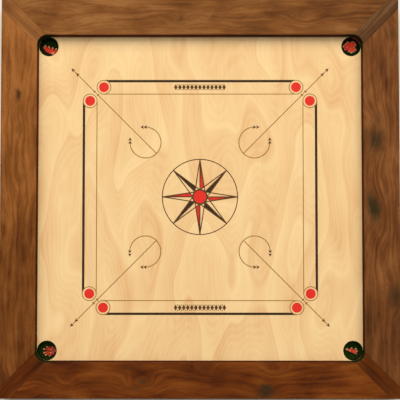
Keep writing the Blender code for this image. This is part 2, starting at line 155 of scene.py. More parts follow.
def birch_ply(name, light, middle, dark, rough):
    material, tree, shader = new_material(name, IOR=1.45)
    place = add_node(tree, "TexCoord")
    at = place.outputs["Object"]
    hills = stretched_noise(tree, at, FACE_FIGURE, Detail=1.5)
    patch = stretched_noise(tree, at, FACE_FIGURE, Scale=CLOUD_CELLS, Detail=2.0)
    fibre = stretched_noise(tree, at, FACE_FIBRE, Detail=3.0)
    height = add_node(tree, "Math", {0: hills, 1: FACE_CONTOURS}, operation="MULTIPLY")
    contour = add_node(tree, "Math", {0: height}, operation="FRACT")
    band = add_node(
        tree,
        "ValToRGB",
        {0: contour},
        stops=[(0.0, "#7a7a7a"), (0.10, "#d8d8d8"), (0.5, "#b0b0b0"), (1.0, "#848484")],
    )
    # Between two bands the rings of single years show as fine ripples.
    years = add_node(tree, "Math", {0: hills, 1: FACE_YEARS * tau}, operation="MULTIPLY")
    ripple = add_node(tree, "Math", {0: years}, operation="SINE")
    tone = add_node(tree, "Math", {0: band, 1: BAND_SHARE, 2: BASE_TONE}, operation="MULTIPLY_ADD")
    for part, share in ((ripple, RIPPLE_SHARE), (patch, PATCH_SHARE), (fibre, FACE_FIBRE_SHARE)):
        tone = add_node(tree, "Math", {0: part, 1: share, 2: tone}, operation="MULTIPLY_ADD")
    face = add_node(tree, "ValToRGB", {0: tone}, stops=[(0.30, dark), (0.55, middle), (0.85, light)])
    # Painted shade on the edge of a hole: a blackish green for the deep shade in the pocket, in the layers
    # of the plies.
    parts = add_node(tree, "SeparateXYZ", {0: at})
    layers = add_node(tree, "Math", {0: parts.outputs[2], 1: pi / PLY_LAYER}, operation="MULTIPLY")
    wave = add_node(tree, "Math", {0: layers}, operation="SINE")
    edge = add_node(tree, "ValToRGB", {0: wave}, stops=[(0.0, "#141f06"), (0.35, "#25310d")])
    facing = add_node(tree, "SeparateXYZ", {0: place.outputs["Normal"]})
    upright = add_node(tree, "Math", {0: facing.outputs[2]}, operation="ABSOLUTE")
    on_face = add_node(tree, "Math", {0: upright, 1: 0.5}, operation="GREATER_THAN")
    colour = add_node(tree, "Mix", {0: on_face, 6: edge, 7: face}, data_type="RGBA").outputs[2]
    gloss = add_node(tree, "MapRange", {0: fibre, 3: rough - GLOSS_DRIFT, 4: rough + GLOSS_DRIFT})
    feed(tree, shader, Base_Color=colour, Roughness=gloss)
    return material


BIRCH = birch_ply("lacquered_birch_ply", light="#edcf9b", middle="#e4be8a", dark="#d6a26c", rough=0.22)
print("made", BIRCH.name)

# %% [markdown]
# ## The frame: polished rosewood
# Indian rosewood has three things to show. Its growth rings are dark veins that run along the board
# in long loops, its ground colour drifts between honey and walnut, and where a branch left the
# trunk the veins flow round a knot. All three can come from one number at each point of the wood,
# a ring height: the distance across the grain, bent by a slow noise, plus a bump at each knot.
# Contours of that height would make veins of even strength, as on a map. Real veins come and go, so
# the height is one axis of a noise instead, and the way along the grain is the other. Each piece of
# the frame is a different plank, so a turn lays the grain along it, a shift picks its place in the
# log, and its knots are its own.

# %% Rosewood
VEIN_SPACING = 8 * MM
DRIFT = (5.0, 13.0, 13.0)  # slow noise, cells per metre along and across the grain
DRIFT_RINGS = 7.0  # how many rings the drift pushes a vein sideways over its whole range
FLOW = 6.0  # how quickly the figure changes on the way along a vein, cells per metre
FIBRE = (8.0, 7.0, 1.0)  # how much finer the fibres are than the veins they follow
PORES = (150.0, 2400.0, 2400.0)  # short dark flecks, cells per metre
PORE_INK = 0.35  # how much a pore darkens the wood
FRAY = 26 * MM  # how far the outline of a knot's dark heart wanders
FRAY_CELLS = 42.0  # how often it does, cells per metre
VEIN_SHARE, CLOUD_SHARE, FIBRE_SHARE = 0.85, 0.95, 0.3
TONE_RANGE = 0.29  # the tone either side of its mean that the colours are spread over
KNOT_LENGTH = 1.8  # a knot's figure is longer along the grain than across it
HEART = 0.66  # the dark heart's size as a share of the swirl's
TEAR = 2.2  # how strongly the veins tear the heart's outline
STAIN_FROM, STAIN_FULL, STAIN_MOST = 1.38, 2.1, 0.95
INNER_WALL_SHADE = "#a66f34"  # painted shade: what is left of the colour on the upright inner walls
WALL_SHADE_FADE = 2.5 * MM
WAX_DULL = 0.7  # how much rougher a face is where wax was left unrubbed
NOTCH_SHADE = "#1d2609"  # painted shade: the blackish green of the deep shade at the notches by the pockets
NOTCH_SHADE_FROM, NOTCH_SHADE_TO = POCKET_RADIUS + 3 * MM, POCKET_RADIUS + 6 * MM


def painted_wall_shade(tree, place):
    """Two strengths of painted shade: one for the inner walls, which also marks where they are rougher, one
    for the notches at the pockets.
    """
    level = add_node(tree, "VectorMath", {0: place.outputs["Object"]}, operation="ABSOLUTE")
    parts = add_node(tree, "SeparateXYZ", {0: level})
    furthest = add_node(tree, "Math", {0: parts, 1: parts.outputs[1]}, operation="MAXIMUM")
    inner = add_node(
        tree, "MapRange", {0: furthest, 1: PLAY_HALF, 2: PLAY_HALF + WALL_SHADE_FADE, 3: 1.0, 4: 0.0}
    )
    facing = add_node(tree, "SeparateXYZ", {0: place.outputs["Normal"]})
    upright = add_node(tree, "MapRange", {0: facing.outputs[2], 1: 0.5, 2: 0.95, 3: 1.0, 4: 0.0})
    wall_shade = add_node(tree, "Math", {0: inner, 1: upright}, operation="MULTIPLY")
    # Painted shade: the four notches at the pockets are darkened to a blackish green.
    away = add_node(
        tree, "VectorMath", {0: level, 1: (POCKET_CENTRE, POCKET_CENTRE, 0)}, operation="SUBTRACT"
    )
    flat = add_node(tree, "VectorMath", {0: away, 1: (1, 1, 0)}, operation="MULTIPLY")
    far = add_node(tree, "VectorMath", {0: flat}, operation="LENGTH")
    near = add_node(tree, "MapRange", {0: far.outputs["Value"], 1: NOTCH_SHADE_FROM, 2: NOTCH_SHADE_TO, 3: 1.0, 4: 0.0})
    notch_shade = add_node(tree, "Math", {0: near, 1: upright}, operation="MULTIPLY")
    return wall_shade, notch_shade


def knot_glow(tree, grain, along, across, size):
    """A strength that is 1 in the middle of a knot and fades to 0 around it."""
    reach = (1 / (size * KNOT_LENGTH), 1 / size, 0.0)
    away = add_node(tree, "VectorMath", {0: grain, 1: (along, across, 0)}, operation="SUBTRACT")
    scaled = add_node(tree, "VectorMath", {0: away, 1: reach}, operation="MULTIPLY")
    squared = add_node(tree, "VectorMath", {0: scaled, 1: scaled}, operation="DOT_PRODUCT")
    falling = add_node(tree, "Math", {0: squared.outputs["Value"], 1: -1.0}, operation="MULTIPLY")
    return add_node(tree, "Math", {0: falling}, operation="EXPONENT")


def rosewood(name, tones, turn, shift, fade=0.0, knots=()):
    """tones is (dark, middle, light, knot); each knot is (x, y, size, swirl, darkness)."""
    dark, middle, light, knot_colour = tones
    material, tree, shader = new_material(name, IOR=1.45, Specular_IOR_Level=0.25)
    place = add_node(tree, "TexCoord")
    grain = add_node(tree, "Mapping", {"Vector": place.outputs["Object"], "Rotation": (0, 0, -turn)})
    log = add_node(tree, "Mapping", {"Vector": grain, "Location": shift})
    drift = stretched_noise(tree, log, DRIFT, Detail=2.5, Distortion=0.4)
    across = add_node(tree, "SeparateXYZ", {0: log})
    rings = add_node(tree, "Math", {0: across.outputs[1], 1: 1 / VEIN_SPACING}, operation="MULTIPLY")
    height = add_node(tree, "Math", {0: drift, 1: DRIFT_RINGS, 2: rings}, operation="MULTIPLY_ADD")
    # A knot's heart is torn and uneven, so its place is frayed by a quick noise.
    fray = add_node(
        tree, "TexNoise", {"Vector": grain, "Scale": FRAY_CELLS, "Detail": 5.0, "Roughness": 0.7}
    )
    frayed = add_node(
        tree,
        "VectorMath",
        {0: fray.outputs["Color"], 1: (FRAY, FRAY, FRAY), 2: grain},
        operation="MULTIPLY_ADD",
    )
    stain = None
    for x, y, size, swirl, darkness in knots:
        along = x * cos(turn) + y * sin(turn)
        offset = y * cos(turn) - x * sin(turn)
        glow = knot_glow(tree, grain, along, offset, size)
        height = add_node(tree, "Math", {0: glow, 1: swirl, 2: height}, operation="MULTIPLY_ADD")
        core = knot_glow(tree, frayed, along + FRAY / 2, offset + FRAY / 2, size * HEART)
        spot = add_node(tree, "Math", {0: core, 1: darkness}, operation="MULTIPLY")
        if stain is None:
            stain = spot
        else:
            stain = add_node(tree, "Math", {0: stain, 1: spot}, operation="MAXIMUM")
    # Veins and fibres are both read off the ring height, so they flow round the knots together.
    flow_along = add_node(tree, "Math", {0: across, 1: FLOW}, operation="MULTIPLY")
    flow = add_node(tree, "CombineXYZ", {0: flow_along, 1: height, 2: across.outputs[2]})
    vein = add_node(tree, "TexNoise", {"Vector": flow, "Scale": 1.0, "Detail": 3.5, "Roughness": 0.6})
    fibre = stretched_noise(tree, flow, FIBRE, Detail=3.0)
    cloud = stretched_noise(tree, log, DRIFT, Scale=2.1, Detail=4.0, Roughness=0.55)
    pore = stretched_noise(tree, log, PORES, Detail=1.0)
    along_board = add_node(tree, "SeparateXYZ", {0: grain})
    tone = add_node(tree, "Math", {0: along_board, 1: fade}, operation="MULTIPLY")
    for part, share in ((vein, VEIN_SHARE), (cloud, CLOUD_SHARE), (fibre, FIBRE_SHARE)):
        tone = add_node(tree, "Math", {0: part, 1: share, 2: tone}, operation="MULTIPLY_ADD")
    half = (VEIN_SHARE + CLOUD_SHARE + FIBRE_SHARE) / 2
    wood = add_node(tree, "MapRange", {0: tone, 1: half - TONE_RANGE, 2: half + TONE_RANGE})
    shade = add_node(tree, "ValToRGB", {0: wood}, stops=[(0.0, dark), (0.5, middle), (1.0, light)])
    open_pore = add_node(tree, "MapRange", {0: pore, 1: 0.60, 2: 0.72, 3: 0.0, 4: PORE_INK})
    layers = [(open_pore, dark, "MIX")]
    if stain is not None:
        # The stain creeps along the veins, so they break up its outline.
        torn = add_node(tree, "Math", {0: vein, 1: TEAR, 2: stain}, operation="MULTIPLY_ADD")
        amount = add_node(tree, "MapRange", {0: torn, 1: STAIN_FROM, 2: STAIN_FULL, 3: 0.0, 4: STAIN_MOST})
        layers.append((amount, knot_colour, "MIX"))
    # Painted shade darkens the upright inner walls and the notches at the pockets.
    wall_shade, notch_shade = painted_wall_shade(tree, place)
    layers += [(wall_shade, INNER_WALL_SHADE, "MULTIPLY"), (notch_shade, NOTCH_SHADE, "MIX")]
    colour = shade
    for amount, over, blend in layers:
        mix = {0: amount, 6: colour, 7: srgb(over)}
        colour = add_node(tree, "Mix", mix, data_type="RGBA", blend_type=blend).outputs[2]
    polish = add_node(tree, "MapRange", {0: fibre, 3: 0.20, 4: 0.28})
    # The wax that gathers in the corners is never rubbed up, so the inner walls are dull.
    gloss = add_node(tree, "Math", {0: wall_shade, 1: WAX_DULL, 2: polish}, operation="MULTIPLY_ADD")
    relief = add_node(tree, "Bump", {"Height": pore, "Distance": 0.02 * MM, "Strength": 0.3})
    feed(tree, shader, Base_Color=colour, Roughness=gloss, Normal=relief)
    return material


def dress(node, material):
    """Gives a piece of the frame its finish."""
    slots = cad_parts[node].data.materials
    slots.clear()
    slots.append(material)


# %% [markdown]
# Each plank is now described in words that a timber merchant would use: how dark it is, which way
# its grain runs, and where on the board its knots are, with their size, how strongly the veins
# swirl round them, and how dark their hearts are. A knot with no dark heart is a swirl only.

# %% The eight pieces of the frame
RAIL_LINE = (PLAY_HALF + OUTER_HALF) / 2
KNOT_BROWN = "#2c1a0e"
KNOT_GREY = "#2c2613"

PLANKS = {
    "rail_far": dict(
        tones=("#553114", "#784920", "#956335", KNOT_BROWN),
        turn=0.0,
        shift=(0.3, 0.1, 0.0),
        fade=-0.25,
        knots=[
            (-0.043, RAIL_LINE - 0.006, 0.016, 1.8, 0.55),
            (0.031, RAIL_LINE - 0.003, 0.015, 1.6, 0.65),
            (0.240, RAIL_LINE - 0.008, 0.020, 2.2, 0.0),
            (-0.310, RAIL_LINE - 0.020, 0.022, 1.8, 0.0),
        ],
    ),
    "rail_left": dict(
        tones=("#53290a", "#78461b", "#9a602e", KNOT_BROWN),
        turn=pi / 2,
        shift=(1.7, 0.4, 0.0),
        fade=0.5,
        knots=[
            (-RAIL_LINE - 0.002, 0.230, 0.012, 1.8, 0.75),
            (-RAIL_LINE + 0.002, 0.154, 0.013, 1.4, 0.35),
            (-RAIL_LINE - 0.016, -0.080, 0.020, 1.5, 0.0),
        ],
    ),
    "rail_right": dict(
        tones=("#45260e", "#6b3e1c", "#8b5930", KNOT_GREY),
        turn=pi / 2,
        shift=(4.1, 0.9, 0.0),
        fade=0.12,
        knots=[
            (RAIL_LINE - 0.014, 0.132, 0.034, 2.6, 0.95),
            (RAIL_LINE - 0.008, 0.168, 0.022, 1.8, 0.6),
            (RAIL_LINE - 0.012, -0.024, 0.030, 2.4, 0.9),
            (RAIL_LINE - 0.006, -0.060, 0.020, 1.2, 0.45),
            (RAIL_LINE + 0.026, -0.220, 0.026, 2.0, 0.85),
            (RAIL_LINE + 0.031, 0.367, 0.018, 1.4, 0.6),
        ],
    ),
    "rail_near": dict(
        tones=("#3f1903", "#642f08", "#7f4414", KNOT_GREY),
        turn=0.0,
        shift=(6.3, 1.3, 0.0),
        knots=[
            (-0.123, -RAIL_LINE - 0.002, 0.020, 3.4, 0.60),
            (-0.143, -RAIL_LINE - 0.016, 0.018, 2.4, 0.45),
            (0.146, -RAIL_LINE - 0.024, 0.020, 2.6, 0.95),
            (0.162, -RAIL_LINE + 0.024, 0.016, 2.4, 0.0),
            (-0.300, -RAIL_LINE - 0.004, 0.018, 2.6, 0.0),
            (0.020, -RAIL_LINE + 0.014, 0.020, 2.2, 0.0),
        ],
    ),
    "corner_key_far_left": dict(
        tones=("#643d1b", "#85532a", "#9e6b3a", KNOT_BROWN), turn=-pi / 4, shift=(0.2, 2.3, 0.0)
    ),
    "corner_key_far_right": dict(
        tones=("#402615", "#59391e", "#714f31", KNOT_BROWN), turn=pi / 4, shift=(2.2, 3.1, 0.0)
    ),
    "corner_key_near_left": dict(
        tones=("#371601", "#552403", "#6c3607", KNOT_BROWN), turn=pi / 4, shift=(3.4, 4.6, 0.0)
    ),
    "corner_key_near_right": dict(
        tones=("#3e1a03", "#5c2b04", "#743e0c", KNOT_BROWN), turn=-pi / 4, shift=(5.8, 5.2, 0.0)
    ),
}
for node, plank in PLANKS.items():
    dress(node, rosewood("polished_rosewood_" + node, **plank))
dress("playing_surface", BIRCH)
print("dressed", len(PLANKS), "pieces of the frame and the playing surface")

# %% [markdown]
# ## The woods and metal that are seen only from below
# Turn the board over and it is plain carpentry: pine battens, and plates and rings held by
# countersunk screws. Pine has wide, regular stripes of early and late wood. Zinc plating is a thin
# passivated skin, whose faint yellow and blue clouds show on a satin grey. The pocket rings are
# injection moulded in black, and what gives moulded plastic away is its fine, even, sparkled skin.

# %% Pine, zinc-plated steel and moulded plastic
PINE_STRIPE = 6 * MM
PINE_BEND = (3.0, 22.0, 22.0)  # slow noise, cells per metre along and across the grain
PINE_WANDER = 6.0  # how many stripes it pushes a stripe sideways
PINE_FIBRE = (20.0, 1100.0, 1100.0)
PLATING_CLOUD = 9 * MM
MOULD_SPARK = 0.5 * MM


def pine(name, turn):
    material, tree, shader = new_material(name, Roughness=0.62)
    place = add_node(tree, "TexCoord")
    grain = add_node(tree, "Mapping", {"Vector": place.outputs["Object"], "Rotation": (0, 0, -turn)})
    bend = stretched_noise(tree, grain, PINE_BEND, Detail=2.0)
    parts = add_node(tree, "SeparateXYZ", {0: grain})
    rings = add_node(tree, "Math", {0: parts.outputs[1], 1: 1 / PINE_STRIPE}, operation="MULTIPLY")
    height = add_node(tree, "Math", {0: bend, 1: PINE_WANDER, 2: rings}, operation="MULTIPLY_ADD")
    ring = add_node(tree, "Math", {0: height}, operation="FRACT")
    fibre = stretched_noise(tree, grain, PINE_FIBRE, Detail=3.0)
    tone = add_node(tree, "Math", {0: fibre, 1: 0.5, 2: ring}, operation="MULTIPLY_ADD")
    colour = add_node(
        tree, "ValToRGB", {0: tone}, stops=[(0.2, "#e0bd88"), (0.75, "#cfa367"), (1.0, "#a97842")]
    )
    relief = add_node(tree, "Bump", {"Height": fibre, "Distance": 0.08 * MM, "Strength": 0.6})
    feed(tree, shader, Base_Color=colour, Normal=relief)
    return material


def clouded(name, cell, stops, rough, bump, **surface):
    """A finish whose colour and roughness drift in soft clouds of one cell size."""
    material, tree, shader = new_material(name, **surface)
    place = add_node(tree, "TexCoord")
    cloud = add_node(
        tree, "TexNoise", {"Vector": place.outputs["Object"], "Scale": 1 / cell, "Detail": 3.0}
    )
    colour = add_node(tree, "ValToRGB", {0: cloud}, stops=stops)
    roughness = add_node(tree, "MapRange", {0: cloud, 1: 0.3, 2: 0.7, 3: rough[0], 4: rough[1]})
    relief = add_node(tree, "Bump", {"Height": cloud, "Distance": bump, "Strength": 0.5})
    feed(tree, shader, Base_Color=colour, Roughness=roughness, Normal=relief)
    return material


PINE_ACROSS = pine("planed_pine_across", turn=0.0)
PINE_ALONG = pine("planed_pine_along", turn=pi / 2)
TONGUE_PLY = birch_ply("bare_birch_ply", light="#e6c795", middle="#d9b580", dark="#c39a64", rough=0.6)
STEEL = clouded(
    "zinc_plated_steel",
    PLATING_CLOUD,
    [(0.30, "#b9bdc4"), (0.52, "#c9c6ba"), (0.70, "#aeb2b9")],
    rough=(0.26, 0.42),
    bump=0.01 * MM,
    Metallic=1.0,
)
PLASTIC = clouded(
    "moulded_black_plastic",
    MOULD_SPARK,
    [(0.35, "#0d0e0d"), (0.65, "#161817")],
    rough=(0.38, 0.52),
    bump=0.02 * MM,
    IOR=1.5,
)
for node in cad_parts:
    if node.startswith("batten_"):
        dress(node, PINE_ALONG if node in ("batten_left", "batten_right") else PINE_ACROSS)
    elif node.startswith("tongue_"):
        dress(node, TONGUE_PLY)
    elif node.startswith("pocket_ring_"):
        dress(node, PLASTIC)
    elif node.startswith("corner_plate_"):
        dress(node, STEEL)
print("dressed the battens, tongues, rings and plates")

# %% [markdown]
# ## The printed play lines
# The lines are screen printed: ink is pushed through a mesh and dries as a film on the lacquer. Ink
# could be a pattern in the surface's material, but a pattern is baked at some resolution and thin
# lines would blur. Here each stroke is a real film instead, a fraction of a millimetre proud, made
# from a few simple shapes: straight bars, rings, discs, and plates with a pointed outline. A layer
# is a little higher than the one that was printed before it, as with real inks, so none fight.

# %% Tools for ink films
INK_ROOT = 0.05 * MM  # how far a film reaches into the lacquer, so that no gap shows under it
INK_LAYER = 0.04 * MM
PRINT_SHIFT = Vector((0.1, 1.6)) * MM  # the screen was laid a little off the board's middle
scene = bpy.context.scene


def finish_piece(name, bm, material, replaces=()):
    """Turns a bmesh into a finished piece of the board."""
    bmesh.ops.recalc_face_normals(bm, faces=bm.faces)
    mesh = bpy.data.meshes.new(name)
    bm.to_mesh(mesh)
    bm.free()
    mesh.materials.append(material)
    piece = bpy.data.objects.new(name, mesh)
    scene.collection.objects.link(piece)
    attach(piece, "root")
    if replaces:
        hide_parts(*replaces)
    print(f"{name}: {len(mesh.polygons)} faces")
    return piece


def film(layer):
    """The middle height and the thickness of an ink film of that layer."""
    top = SURFACE + INK_LAYER * (layer + 1)
    bottom = SURFACE - INK_ROOT
    return (top + bottom) / 2, top - bottom


def add_bar(bm, start, end, width, layer=0):
    """A straight stroke from start to end."""
    start, end = Vector(start), Vector(end)
    run = end - start
    middle, thick = film(layer)
    place = (
        Matrix.Translation((*((start + end) / 2), middle))
        @ Matrix.Rotation(atan2(run.y, run.x), 4, "Z")
        @ Matrix.Diagonal((run.length, width, thick, 1))
    )
    return bmesh.ops.create_cube(bm, size=1.0, matrix=place)["verts"]


def add_disc(bm, centre, radius, layer=0, sides=64):
    middle, thick = film(layer)
    place = Matrix.Translation((*centre, middle))
    return bmesh.ops.create_cone(
        bm, cap_ends=True, segments=sides, radius1=radius, radius2=radius, depth=thick, matrix=place
    )["verts"]


def add_ring(bm, centre, radius, width, layer=0, start=0.0, sweep=tau, steps=96):
    """A curved stroke: a small rectangle spun round the centre. Part rings get closed ends."""
    middle, thick = film(layer)
    full = sweep > tau - 0.001
    corners = [(-0.5, -0.5), (0.5, -0.5), (0.5, 0.5), (-0.5, 0.5)]
    verts = []
    for out, up in corners:
        reach = radius + out * width
        spot = (centre[0] + reach * cos(start), centre[1] + reach * sin(start))
        verts.append(bm.verts.new((*spot, middle + up * thick)))
    section = bm.faces.new(verts)
    edges = list(section.edges)
    if full:
        bm.faces.remove(section)
        geometry = verts + edges
    else:
        geometry = verts + edges + [section]
    bmesh.ops.spin(
        bm, geom=geometry, cent=(*centre, middle), axis=(0, 0, 1), angle=sweep, steps=steps, use_merge=full
    )


def add_plate(bm, outline, layer=0):
    """A flat film with that outline, given as points."""
    middle, thick = film(layer)
    face = bm.faces.new([bm.verts.new((*point, middle - thick / 2)) for point in outline])
    made = bmesh.ops.extrude_face_region(bm, geom=[face])["geom"]
    verts = [item for item in made if isinstance(item, bmesh.types.BMVert)]
    bmesh.ops.translate(bm, verts=verts, vec=(0, 0, thick))


def four_sides(bm):
    """Repeats what was drawn on one side on the other three, by quarter turns."""
    bmesh.ops.spin(
        bm,
        geom=list(bm.verts) + list(bm.edges) + list(bm.faces),
        cent=(0, 0, 0),
        axis=(0, 0, 1),
        angle=3 * pi / 2,
        steps=3,
        use_duplicate=True,
    )


def print_film(name, bm, material):
    """Lays the finished film where the screen lay, and binds it to the board."""
    bmesh.ops.translate(bm, verts=bm.verts, vec=(*PRINT_SHIFT, 0))
    return finish_piece(name, bm, material)


# %% [markdown]
# Ink is not one flat colour either: the screen's pressure varies, so the film is a little thinner
# here and thicker there, and the wood's own fibres show faintly through. The red of the four main
# star points was blended on the screen, from bright at the middle to brown at the tips, which a
# gradient on the distance from the board's middle repeats.

# %% The inks
INK_GRAIN = 1.6 * MM
INK_CELLS = (1 / INK_GRAIN, 0.1 / INK_GRAIN, 1 / INK_GRAIN)  # ten times as long as they are wide


def screen_ink(name, thin, thick, tip=None, reach=None):
    material, tree, shader = new_material(name, IOR=1.45)
    place = add_node(tree, "TexCoord")
    load = stretched_noise(tree, place.outputs["Object"], INK_CELLS, Detail=3.0)
    ink = add_node(tree, "ValToRGB", {0: load}, stops=[(0.35, thin), (0.6, thick)])
    colour = ink
    if tip:
        flat = add_node(
            tree, "VectorMath", {0: place.outputs["Object"], 1: (1, 1, 0)}, operation="MULTIPLY"
        )
        away = add_node(tree, "VectorMath", {0: flat}, operation="LENGTH")
        fade = add_node(
            tree,
            "MapRange",
            {0: away.outputs["Value"], 1: reach[0], 2: reach[1]},
            interpolation_type="SMOOTHSTEP",
        )
        colour = add_node(tree, "Mix", {0: fade, 6: colour, 7: srgb(tip)}, data_type="RGBA").outputs[2]
    rough = add_node(tree, "MapRange", {0: load, 3: 0.22, 4: 0.30})
    feed(tree, shader, Base_Color=colour, Roughness=rough)
    return material


STAR_REACH = 85 * MM
DARK_INK = screen_ink("screen_printed_dark_ink", thin="#3d2c1b", thick="#332415")
BROWN_INK = screen_ink("screen_printed_brown_ink", thin="#60401f", thick="#4e3218")
FINE_INK = screen_ink("screen_printed_fine_brown_ink", thin="#9a7233", thick="#8a642a")
RED_INK = screen_ink("screen_printed_red_ink", thin="#dc3229", thick="#d62b23")
STAR_RED = screen_ink(
    "screen_printed_blended_red_ink",
    thin="#ce332a",
    thick="#c42f26",
    tip="#5e2a12",
    reach=(0.42 * STAR_REACH, 0.86 * STAR_REACH),
)
print("mixed the inks")

# %% [markdown]
# ### Base lines
# Each side has a base: two parallel lines that end in a circle at each end, inside which the
# striker is set down. The outer line is thick and stops on the circle's outline, so its ends are
# cut to the circle's curve. The inner line is thin and just touches the circles.

# %% Base lines and their circles
BASE_OUT = 250.4 * MM  # from the middle to the base's own middle line
BASE_HALF = 219.1 * MM  # from the middle of the side to a circle's centre
CIRCLE_RADIUS = 15.8 * MM
DISC_RADIUS = 11.35 * MM
BAND_WIDTH = 5.6 * MM
LINE = 1.85 * MM

bands = bmesh.new()
circle_edge = CIRCLE_RADIUS + LINE / 2
band_low = circle_edge - BAND_WIDTH
arc_from = asin(band_low / circle_edge)
ARC_STEPS = 6
turns = [arc_from + (pi / 2 - arc_from) * i / ARC_STEPS for i in range(ARC_STEPS + 1)]
right_end = [(BASE_HALF - circle_edge * cos(a), BASE_OUT + circle_edge * sin(a)) for a in turns]
left_end = [(-x, y) for x, y in reversed(right_end)]
add_plate(bands, right_end + left_end, layer=0)
four_sides(bands)
print_film("print_base_bands", bands, DARK_INK)

lines = bmesh.new()
thin_out = BASE_OUT - CIRCLE_RADIUS
add_bar(lines, (-BASE_HALF, thin_out), (BASE_HALF, thin_out), LINE, layer=0)
four_sides(lines)
print_film("print_base_lines", lines, FINE_INK)

circles = bmesh.new()
discs = bmesh.new()
for side in (-1, 1):
    add_ring(circles, (side * BASE_HALF, BASE_OUT), CIRCLE_RADIUS, LINE, layer=1)
    add_disc(discs, (side * BASE_HALF, BASE_OUT), DISC_RADIUS, layer=1)
four_sides(circles)
four_sides(discs)
print_film("print_base_circles", circles, FINE_INK)
print_film("print_base_discs", discs, RED_INK)

# %% [markdown]
# ### The middle
# The middle is a compass star in a circle. Each of its eight points is folded like a paper star:
# one half is inked, the other only outlined. The outline of a point runs on past the valley to the
# red disc, which leaves little pale triangles round it. The left and right outlines cross there, so
# they are films of different heights.

# %% The circle, the disc and the star
RIM_RADIUS = 15.8 * MM
RIM_LINE = 3.4 * MM
VALLEY = 25.0 * MM  # from the middle to where two points meet
POINTS = 8
STAR_LINE = 2.3 * MM
MIDDLE_LINE = 2.2 * MM
# How near the middle an inked half starts, on its own ray and in the valley.
RED_HALF = (19.0 * MM, 22.8 * MM)
DARK_HALF = (17.8 * MM, 25.5 * MM)

middle_ring = bmesh.new()
add_ring(middle_ring, (0, 0), STAR_REACH + 0.4 * MM, MIDDLE_LINE, layer=0, steps=144)
print_film("print_middle_circle", middle_ring, BROWN_INK)

middle_disc = bmesh.new()
add_disc(middle_disc, (0, 0), RIM_RADIUS, layer=4)
print_film("print_middle_disc", middle_disc, RED_INK)

rim = bmesh.new()
add_ring(rim, (0, 0), RIM_RADIUS + 0.3 * MM, RIM_LINE, layer=5)
print_film("print_middle_rim", rim, BROWN_INK)


def ray(turn, reach, offset=0.0):
    """A point at that distance from the middle, turned from the ray by an offset."""
    return (reach * cos(turn + offset), reach * sin(turn + offset))


star_red = bmesh.new()
star_dark = bmesh.new()
star_lines = bmesh.new()
half_step = pi / POINTS
valley_in = VALLEY * sin(half_step)
lean = atan2(valley_in, STAR_REACH - VALLEY * cos(half_step))
run = STAR_REACH * cos(lean) - (RIM_RADIUS**2 - (STAR_REACH * sin(lean)) ** 2) ** 0.5
for k in range(POINTS):
    turn = k * tau / POINTS
    tip = ray(turn, STAR_REACH)
    inked, (own, valley) = (star_red, RED_HALF) if k % 2 == 0 else (star_dark, DARK_HALF)
    add_plate(inked, [tip, ray(turn, own), ray(turn, valley, -half_step)], layer=1)
    add_bar(star_lines, ray(turn, RIM_RADIUS), tip, STAR_LINE, layer=2)
    for side, layer in ((-1, 3), (1, 6)):
        end = (tip[0] - run * cos(turn + side * lean), tip[1] - run * sin(turn + side * lean))
        add_bar(star_lines, tip, end, STAR_LINE, layer=layer)
print_film("print_star_red", star_red, STAR_RED)
print_film("print_star_dark", star_dark, DARK_INK)
print_film("print_star_lines", star_lines, BROWN_INK)

# %% [markdown]
# ### Corner arrows
# From each corner a fine line runs towards the middle, with two arrowheads at its pocket end, two
# short ticks where it passes between the base circles, and a three-quarter arc round its other end.
# Everything is drawn once, for the far right corner, and repeated by quarter turns.

# %% Arrows and arcs
ARROW_FROM = 293 * MM  # along x and along y, so the tip is the root of two further from the middle
ARROW_TO = 99.3 * MM
SECOND_HEAD = 282.5 * MM
HEAD_LENGTH = 7.4 * MM
HEAD_WIDTH = 8.4 * MM
HEAD_NOTCH = 1.2 * MM  # how deep the back of a head is cut in
ARC_CENTRE = 123.8 * MM
ARC_RADIUS = 35.2 * MM
ARC_LINE = 2.0 * MM
TICK = 6.0 * MM
TICKS = (8.2 * MM, -3.5 * MM)  # along the arrow, from halfway between the two circles
ARC_HEADS = (4.5 * MM, 11.7 * MM)  # how far past the arc's ends its heads point


def add_head(bm, tip, turn):
    """A small filled arrowhead, barbed at the back, whose tip points along turn."""
    along = Vector((cos(turn), sin(turn)))
    across = Vector((-along.y, along.x)) * HEAD_WIDTH / 2
    back = Vector(tip) - along * HEAD_LENGTH
    add_plate(bm, [Vector(tip), back + across, back + along * HEAD_NOTCH, back - across], layer=3)


heads = bmesh.new()
arrows = bmesh.new()
add_bar(arrows, (ARROW_TO, ARROW_TO), (ARROW_FROM, ARROW_FROM), LINE, layer=2)
for reach in (ARROW_FROM, SECOND_HEAD):
    add_head(heads, (reach, reach), pi / 4)
between = (BASE_OUT + BASE_HALF) / 2
diagonal = Vector((1, 1)).normalized()
for offset in TICKS:
    spot = Vector((between, between)) + diagonal * offset
    reach = Vector((-diagonal.y, diagonal.x)) * TICK / 2
    add_bar(heads, spot - reach, spot + reach, LINE, layer=3)
four_sides(arrows)
print_film("print_corner_arrows", arrows, FINE_INK)

arcs = bmesh.new()
add_ring(
    arcs, (ARC_CENTRE, ARC_CENTRE), ARC_RADIUS, ARC_LINE, layer=1, start=pi / 2, sweep=3 * pi / 2, steps=72
)
for ahead in ARC_HEADS:
    add_head(heads, (ARC_CENTRE + ahead, ARC_CENTRE + ARC_RADIUS), 0.0)
    add_head(heads, (ARC_CENTRE + ARC_RADIUS, ARC_CENTRE + ahead), pi / 2)
four_sides(arcs)
print_film("print_corner_arcs", arcs, FINE_INK)
four_sides(heads)
print_film("print_arrow_heads", heads, BROWN_INK)

# %% [markdown]
# ### A border ornament
# Boards often carry a printed band of some kind inside the two bases that face the players. A plain
# row of lozenges and dots does here. A lozenge is a plate with four corners.

# %% Lozenges and dots
ORNAMENT_HALF = 55 * MM
LOZENGES = 13
LOZENGE = (4.2 * MM, 7.0 * MM)  # half its width and half its height
DOT = 1.3 * MM

